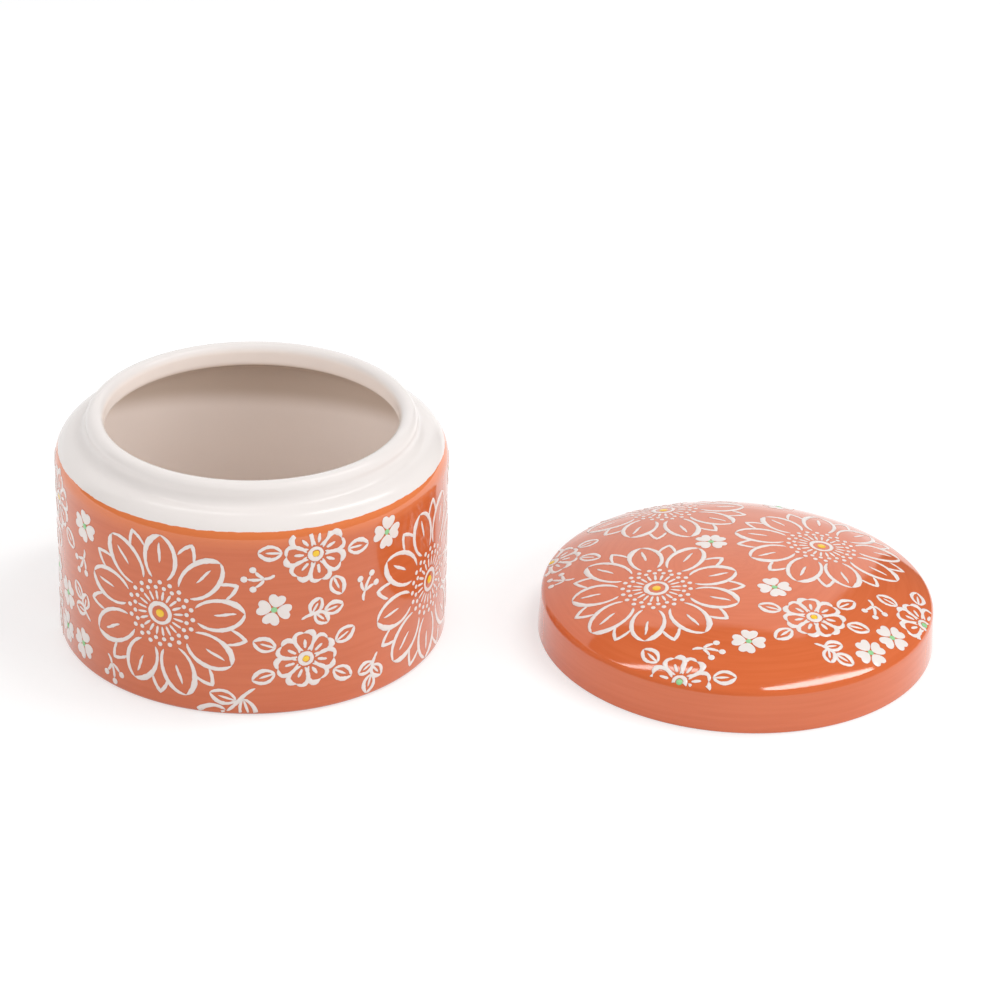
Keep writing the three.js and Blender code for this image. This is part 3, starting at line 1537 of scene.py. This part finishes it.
@dataclass
class Jar(Ware):
    """The jar: foot ring, straight wall, rounded shoulder, cove, set-in neck, and the hollow inside.

    Its big flowers stand evenly round the wall, each given by its height and its turn.
    """

    relief: Relief = Relief()
    body: str = "jar"
    node: str = "jar_body"
    slot: str = "jar_glaze"
    tone: float = 0.92
    foot_rounding: float = 1.7
    foot_ring_width: float = 4.5
    foot_recess: float = 1.2
    wall_height: float = 59.6
    shoulder_rounding: float = 9.1
    neck_setback: float = 10.2
    cove_radius: float = 3.6
    lip_outer_rounding: float = 2.8
    lip_top: float = 0.2
    lip_inner_rounding: float = 2.7
    wall_thickness: float = 4.5
    floor_thickness: float = 5.5
    floor_fillet: float = 8.0
    bore_face: float = 2.65
    under_lip_rounding: float = 2.5
    colour_line: float = 30.0
    line_lean: Point = (-0.3, -0.15)
    # Slant and start of the painted shade inside the jar, under its lip.
    shade_slant: Point = (1.5, 15.0)
    shade_above: float = 9.0
    bare_outside: float = 0.5
    bare_inside: float = 0.3
    cream_fade: float = 2.5
    facing: float = -85.0
    first_bloom: float = -30.0
    blooms_round: tuple[tuple[float, float], ...] = ((33, 8), (29, 26), (35, 3), (30, 17))
    pattern_from: float = 1.3
    pattern_to: float = 62.2
    seed: int = 7
    quiet: tuple[Bead, ...] = ()
    plan: tuple[tuple[Motif, int], ...] = (
        (Motif.COSMOS, 8), (Motif.DOGWOOD, 9), (Motif.TULIP, 4), (Motif.SMALL_COSMOS, 3),
        (Motif.SPRIG, 8), (Motif.DOGWOOD, 12), (Motif.TWIG, 12), (Motif.BERRIES, 30),
    )

    def __post_init__(self) -> None:
        """Takes the outer sizes from the frame."""
        low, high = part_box(self.node)
        self.height = high.z / MM
        self.outer_radius = (high.x - low.x) / 2 / MM
        self.axis_x = (high.x + low.x) / 2 / MM
        self.glaze_radius = self.outer_radius - self.relief.set_in
        self.form = self._turn()

    def _turn(self) -> Turned:
        """Walks the section from the middle of the floor over the lip and down to the foot.

        Returns:
            The turned form.
        """
        glaze_in = self.relief.set_in
        neck = self.outer_radius - self.neck_setback
        bore = neck - self.lip_outer_rounding - self.lip_top - self.lip_inner_rounding
        shoulder = (self.outer_radius - self.shoulder_rounding, self.wall_height)
        rounding = self.shoulder_rounding - glaze_in
        inner_rounding = self.shoulder_rounding - self.wall_thickness
        inner = self.outer_radius - self.wall_thickness
        floor_centre = (inner - self.floor_fillet, self.floor_thickness + self.floor_fillet)
        under_lip = (bore + self.under_lip_rounding, self.height - self.lip_inner_rounding - self.bore_face)
        across = (shoulder[0] - under_lip[0], shoulder[1] - under_lip[1])
        turn = math.asin((self.under_lip_rounding + inner_rounding) / math.hypot(*across))
        slope = math.degrees(math.atan2(across[1], across[0]) + turn)
        cove_out = neck + self.cove_radius - shoulder[0]
        cove_up = math.sqrt((rounding + self.cove_radius) ** 2 - cove_out**2)
        cove = (neck + self.cove_radius, shoulder[1] + cove_up)
        meeting = math.degrees(math.atan2(cove_up, cove_out))

        section = Profile().to(0, self.floor_thickness)
        section.arc(floor_centre, self.floor_fillet, -90, 0)
        self._wall_top = len(section.points)
        section.arc(shoulder, inner_rounding, 0, 90 + slope)
        self._under_lip = len(section.points)
        section.arc(under_lip, self.under_lip_rounding, 270 + slope, 180, step=10)
        lip_in = (bore + self.lip_inner_rounding, self.height - self.lip_inner_rounding)
        lip_out = (neck - self.lip_outer_rounding, self.height - self.lip_outer_rounding)
        self._bore_top = len(section.points)
        section.arc(lip_in, self.lip_inner_rounding, 180, 90)
        section.arc(lip_out, self.lip_outer_rounding, 90, 0)
        section.arc(cove, self.cove_radius, 180, 180 + meeting)
        section.arc(shoulder, rounding, meeting, self.colour_line, step=4)
        zero = len(section.points) - 1
        section.arc(shoulder, rounding, self.colour_line, 0, step=4)
        ring_outer = self.glaze_radius - self.foot_rounding
        self._wall_end = len(section.points)
        section.arc((ring_outer, self.foot_rounding), self.foot_rounding, 0, -90, step=10)
        self._ring_start = len(section.points) - 1
        section.to(ring_outer - self.foot_ring_width, 0)
        section.to(ring_outer - self.foot_ring_width - self.foot_recess, self.foot_recess)
        section.to(0, self.foot_recess)
        return Turned(Meridian(section.points, zero), self.axis_x)

    def zones(self) -> CoatZones:
        """Works out where the orange coat ends and the bare foot ring starts and ends.

        Returns:
            The zones of the glaze.
        """
        runs = self.form.meridian.runs
        return CoatZones(
            coat_start=0.0,
            coat_end=runs[self._ring_start] - self.bare_outside,
            bare_end=runs[self._ring_start + 1] + self.bare_inside,
            cream_none=runs[self._bore_top] + self.cream_fade,
            cream_full=runs[self._bore_top],
            radius=self.glaze_radius,
            # The painted shade inside runs from above the top of the straight inner wall to the underside
            # of the lip.
            shade_from=runs[self._wall_top] + self.shade_above,
            shade_to=runs[self._under_lip],
            lean=self.line_lean,
            shade_slant=self.shade_slant,
        )

    def sheet(self) -> Sheet:
        """Rolls the wall out flat.

        Returns:
            The sheet.
        """
        table_run = self.form.meridian.runs[self._wall_end] + self.foot_rounding
        return WallSheet(
            self.form, self.glaze_radius, table_run, self.pattern_from, self.pattern_to, self.facing
        )

    def blooms(self) -> list[tuple[Point, float]]:
        """Spaces the big flowers evenly round the wall.

        Returns:
            Their middles and turns.
        """
        pitch = 2 * math.pi * self.glaze_radius / len(self.blooms_round)
        return [
            ((self.first_bloom + pitch * k, height), turn)
            for k, (height, turn) in enumerate(self.blooms_round)
        ]


@dataclass
class Lid(Ware):
    """The lid: upright band, rounded crease, steep shoulder, shallow crown, and the hollow underneath.

    The coat starts before the middle of the crown, so it covers the whole top. The drawing ends past the
    start of the crease.
    """

    relief: Relief = Relief()
    body: str = "lid"
    node: str = "lid"
    slot: str = "lid_glaze"
    tone: float = 1.0
    band_height: float = 12.63
    band_draft: float = 0.7
    crease_rounding: float = 2.5
    shoulder_slope: float = 28.0
    shoulder_width: float = 19.1
    crown_radius: float = 230.0
    rim_rounding: float = 0.8
    skirt_thickness: float = 5.5
    roof_thickness: float = 5.0
    skirt_fillet: float = 8.0
    coat_start: float = -50.0
    bare_outside: float = 0.3
    bare_inside: float = 0.5
    cream_fade: float = 0.5
    pattern_past_edge: float = 0.6
    blooms_on_dome: tuple[tuple[Point, float], ...] = (((-27, -15), 20), ((28, 17), 48), ((-23, 46), 5))
    seed: int = 8
    quiet: tuple[Bead, ...] = (Bead((16, -60), 13),)
    plan: tuple[tuple[Motif, int], ...] = (
        (Motif.COSMOS, 4), (Motif.DOGWOOD, 4), (Motif.TULIP, 2), (Motif.SMALL_COSMOS, 2),
        (Motif.SPRIG, 4), (Motif.DOGWOOD, 4), (Motif.TWIG, 6), (Motif.BERRIES, 12),
    )

    def __post_init__(self) -> None:
        """Takes the outer sizes from the frame."""
        low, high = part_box(self.node)
        self.radius = (high.x - low.x) / 2 / MM
        self.axis_x = (high.x + low.x) / 2 / MM
        self.apex = high.z / MM
        self.form = self._turn()

    def _turn(self) -> Turned:
        """Walks the section from the top of the crown over the rim to the middle of the underside.

        Returns:
            The turned form.
        """
        draft = math.degrees(math.atan2(self.band_draft, self.band_height))
        crease = on_circle((self.radius - self.band_draft, self.band_height), -self.crease_rounding, draft)
        outer = on_circle(crease, self.crease_rounding, 90 - self.shoulder_slope)
        crown_edge = self.radius - self.shoulder_width
        crown_slope = math.degrees(math.asin(crown_edge / self.crown_radius))
        steep = math.sin(math.radians(self.shoulder_slope))
        shoulder_radius = (outer[0] - crown_edge) / (steep - crown_edge / self.crown_radius)
        shoulder = on_circle(outer, -shoulder_radius, 90 - self.shoulder_slope)
        crown_drop = (self.crown_radius - shoulder_radius) * math.cos(math.radians(crown_slope))
        crown = (0.0, shoulder[1] - crown_drop)
        skirt = self.radius - self.skirt_thickness
        underside = self.crown_radius - self.roof_thickness
        fillet_out = skirt - self.skirt_fillet
        fillet_up = math.sqrt((underside - self.skirt_fillet) ** 2 - fillet_out**2)
        under_slope = math.degrees(math.atan2(fillet_out, fillet_up))
        log.info("lid apex %.3f mm here, %.3f mm in the frame", crown[1] + self.crown_radius, self.apex)

        section = Profile().arc(crown, self.crown_radius, 90, 90 - crown_slope, step=0.75)
        section.arc(shoulder, shoulder_radius, 90 - crown_slope, 90 - self.shoulder_slope, step=1.5)
        self._edge = len(section.points) - 1
        section.arc(crease, self.crease_rounding, 90 - self.shoulder_slope, draft, step=5)
        rim_out = (self.radius - self.rim_rounding, self.rim_rounding)
        rim_in = (skirt + self.rim_rounding, self.rim_rounding)
        section.arc(rim_out, self.rim_rounding, 0, -90, step=10)
        self._rim = len(section.points) - 1
        section.arc(rim_in, self.rim_rounding, -90, -180, step=10)
        section.arc((fillet_out, crown[1] + fillet_up), self.skirt_fillet, 0, 90 - under_slope)
        section.arc(crown, underside, 90 - under_slope, 90, step=1.5)
        return Turned(Meridian(section.points, 0), self.axis_x)

    def zones(self) -> CoatZones:
        """Works out where the orange coat ends and the bare rim starts and ends.

        Returns:
            The zones of the glaze.
        """
        runs = self.form.meridian.runs
        glazed = runs[self._rim + 1] + self.bare_inside
        return CoatZones(
            coat_start=self.coat_start,
            coat_end=runs[self._rim] - self.bare_outside,
            bare_end=glazed,
            cream_none=glazed,
            cream_full=glazed + self.cream_fade,
            radius=self.radius,
        )

    def sheet(self) -> Sheet:
        """Flattens the domed top, out to just past the start of the crease."""
        return CrownSheet(self.form, self.form.meridian.runs[self._edge] + self.pattern_past_edge)

    def blooms(self) -> list[tuple[Point, float]]:
        """Returns the middles and turns of the big flowers on the dome."""
        return list(self.blooms_on_dome)


# The studio


@dataclass(frozen=True)
class Softbox:
    """A soft lamp that looks at the middle of the table.

    It hangs in a direction from there, and its first side runs along a line as nearly as its tilt allows.
    One that isn't mirrored gives light and doesn't show in the glaze.
    """

    name: str
    direction: tuple[float, float, float]
    along: tuple[float, float, float]
    size: Point
    brightness: float
    distance: float = 1.3
    mirrored: bool = True

    def light(self) -> None:
        """Hangs the lamp: its power follows from its size and how bright its face is."""
        lamp = bpy.data.lights.new(self.name, "AREA")
        lamp.shape = "RECTANGLE"
        lamp.size, lamp.size_y = self.size
        lamp.energy = self.brightness * math.pi * self.size[0] * self.size[1]
        holder = bpy.data.objects.new(self.name, lamp)
        back = Vector(self.direction).normalized()
        side = Vector(self.along)
        side = (side - back * side.dot(back)).normalized()
        turned = Matrix((side, back.cross(side), back)).transposed().to_4x4()
        holder.matrix_world = Matrix.Translation(back * self.distance) @ turned
        holder.visible_camera = False
        holder.visible_glossy = self.mirrored
        bpy.context.scene.collection.objects.link(holder)


@dataclass(frozen=True)
class Studio:
    """White table and white surroundings, soft lamps, and dim walls that only the glaze mirrors.

    Lengths are in metres.
    """

    softboxes: tuple[Softbox, ...] = (
        Softbox("right_softbox", (0.43, 0.13, 0.88), (0.39, 0.27, -0.25), (0.75, 0.10), 10.0),
        Softbox("right_key", (0.43, 0.13, 0.88), (0.39, 0.27, -0.25), (0.75, 0.30), 4.8, mirrored=False),
        Softbox("left_softbox", (-0.28, 0.22, 0.93), (1, 0, 0.3), (0.62, 0.06), 7.5),
        Softbox("front_fill", (-0.15, -0.75, 0.65), (1, 0, 0), (1.6, 1.2), 0.6, 1.8, mirrored=False),
        Softbox("right_fill", (0.88, -0.38, 0.5), (0.4, 0.9, 0), (1.1, 0.8), 3.2, 1.5, mirrored=False),
        Softbox("left_fill", (-0.88, -0.38, 0.45), (0.4, -0.9, 0), (1.0, 0.8), 1.9, 1.5, mirrored=False),
    )
    table_size: float = 12.0
    table_colour: Colour = (0.9, 0.9, 0.9, 1)
    shown_colour: Colour = (0.5, 0.5, 0.5, 1)
    shown_glow: float = 0.55
    shadows_to: float = 0.6
    white_from: float = 1.4
    ambient: float = 0.5
    dim: float = 0.1
    dim_radius: float = 2.6
    dim_facets: tuple[int, int] = (72, 48)
    open_from: float = -75.0
    open_to: float = 22.0
    open_height: float = 49.0

    def light(self) -> None:
        """Sets the table, the surroundings and the lamps."""
        for softbox in self.softboxes:
            softbox.light()
        self._table()
        self._surroundings()
        self._dim_walls()

    @staticmethod
    def _set(bm: BMesh, name: str, material: bpy.types.Material) -> bpy.types.Object:
        """Makes a part of the studio, which isn't part of the object.

        Args:
            bm: Its mesh, which is freed.
            name: Its name.
            material: Its material.

        Returns:
            The part.
        """
        mesh = bpy.data.meshes.new(name)
        bm.to_mesh(mesh)
        bm.free()
        mesh.materials.append(material)
        part = bpy.data.objects.new(name, mesh)
        bpy.context.scene.collection.objects.link(part)
        return part

    def _table(self) -> None:
        """Makes the table top, which shows shadows near the object and is plain white farther off."""
        bm = bmesh.new()
        bmesh.ops.create_grid(bm, x_segments=1, y_segments=1, size=self.table_size / 2)
        wires = MaterialWiring("table_white")
        seen = self._seen(wires)
        reach = wires.node("ShaderNodeVectorMath", {0: wires.place()}, operation="LENGTH").outputs["Value"]
        glow = wires.blend(wires.ramp(reach, self.shadows_to, self.white_from), self.shown_glow, 1.0)
        self._set(bm, "table", wires.finished({
            "Base Color": wires.mix(seen, self.table_colour, self.shown_colour),
            "Roughness": 0.9,
            "Specular IOR Level": 0.1,
            "Emission Color": WHITE,
            "Emission Strength": wires.math("MULTIPLY", seen, glow),
        }))

    @staticmethod
    def _seen(wires: Wiring) -> bpy.types.NodeSocket:
        """Tells what the camera sees, directly, in a reflection or through glass.

        Args:
            wires: The wiring of a material or of the world.

        Returns:
            1 for it, and else 0.
        """
        path = wires.node("ShaderNodeLightPath")
        seen = wires.math("MAXIMUM", path.outputs["Is Camera Ray"], path.outputs["Is Glossy Ray"])
        return wires.math("MAXIMUM", seen, path.outputs["Is Transmission Ray"])

    def _surroundings(self) -> None:
        """Makes the world: white to look at and in reflections, and soft as a light."""
        world = bpy.data.worlds.new("surroundings")
        bpy.context.scene.world = world
        world.use_nodes = True
        world.node_tree.nodes.clear()
        wires = Wiring(world.node_tree)
        strength = wires.blend(self._seen(wires), self.ambient, 1.0)
        background = wires.node("ShaderNodeBackground", {"Color": WHITE, "Strength": strength})
        wires.node("ShaderNodeOutputWorld", {"Surface": background.outputs[0]})

    def _dim_walls(self) -> None:
        """Makes the dim room round the table, open towards the white backdrop behind the object."""
        bm = bmesh.new()
        across, up = self.dim_facets
        bmesh.ops.create_uvsphere(bm, u_segments=across, v_segments=up, radius=self.dim_radius)
        unwanted = []
        for face in bm.faces:
            middle = face.calc_center_median()
            bearing = math.degrees(math.atan2(middle.x, middle.y))
            height = math.degrees(math.atan2(middle.z, math.hypot(middle.x, middle.y)))
            if height < 0 or (height < self.open_height and self.open_from < bearing < self.open_to):
                unwanted.append(face)
        bmesh.ops.delete(bm, geom=unwanted, context="FACES")
        walls = self._set(bm, "dim_walls", MaterialWiring("dim_wall").finished({
            "Base Color": (0, 0, 0, 1),
            "Specular IOR Level": 0,
            "Emission Color": WHITE,
            "Emission Strength": self.dim,
        }))
        for ray in ("camera", "diffuse", "transmission", "volume_scatter", "shadow"):
            setattr(walls, f"visible_{ray}", False)


@dataclass(frozen=True)
class PhotoCamera:
    """The camera where the photograph was taken from."""

    place: tuple[float, float, float] = (-0.00011, -0.9426, 0.5425)
    pitch: float = 27.81
    roll: float = 1.72
    lens: float = 120.18
    film_width: float = 36.0
    nearest: float = 0.05
    farthest: float = 50.0

    def stand(self) -> None:
        """Stands the camera in its place and makes it the scene's camera."""
        data = bpy.data.cameras.new("photo_camera")
        data.lens = self.lens
        data.sensor_width = self.film_width
        data.clip_start, data.clip_end = self.nearest, self.farthest
        down = math.radians(self.pitch)
        level = Vector((1, 0, 0))
        upward = Vector((0, math.sin(down), math.cos(down)))
        forward = Vector((0, math.cos(down), -math.sin(down)))
        cos, sin = math.cos(math.radians(self.roll)), math.sin(math.radians(self.roll))
        right, up = level * cos + upward * sin, upward * cos - level * sin
        camera = bpy.data.objects.new("photo_camera", data)
        turned = Matrix((right, up, -forward)).transposed().to_4x4()
        camera.matrix_world = Matrix.Translation(self.place) @ turned
        bpy.context.scene.collection.objects.link(camera)
        bpy.context.scene.camera = camera


def main() -> None:
    """Builds the pieces in order, then the studio and the camera."""
    logging.basicConfig(level=logging.INFO, format="%(name)s: %(message)s")
    bpy.context.scene.view_settings.view_transform = "Standard"
    palette = Palette.mixed()
    for ware in (Jar(), Lid()):
        ware.build(palette)
    Studio().light()
    PhotoCamera().stand()


if __name__ == "__main__":
    main()
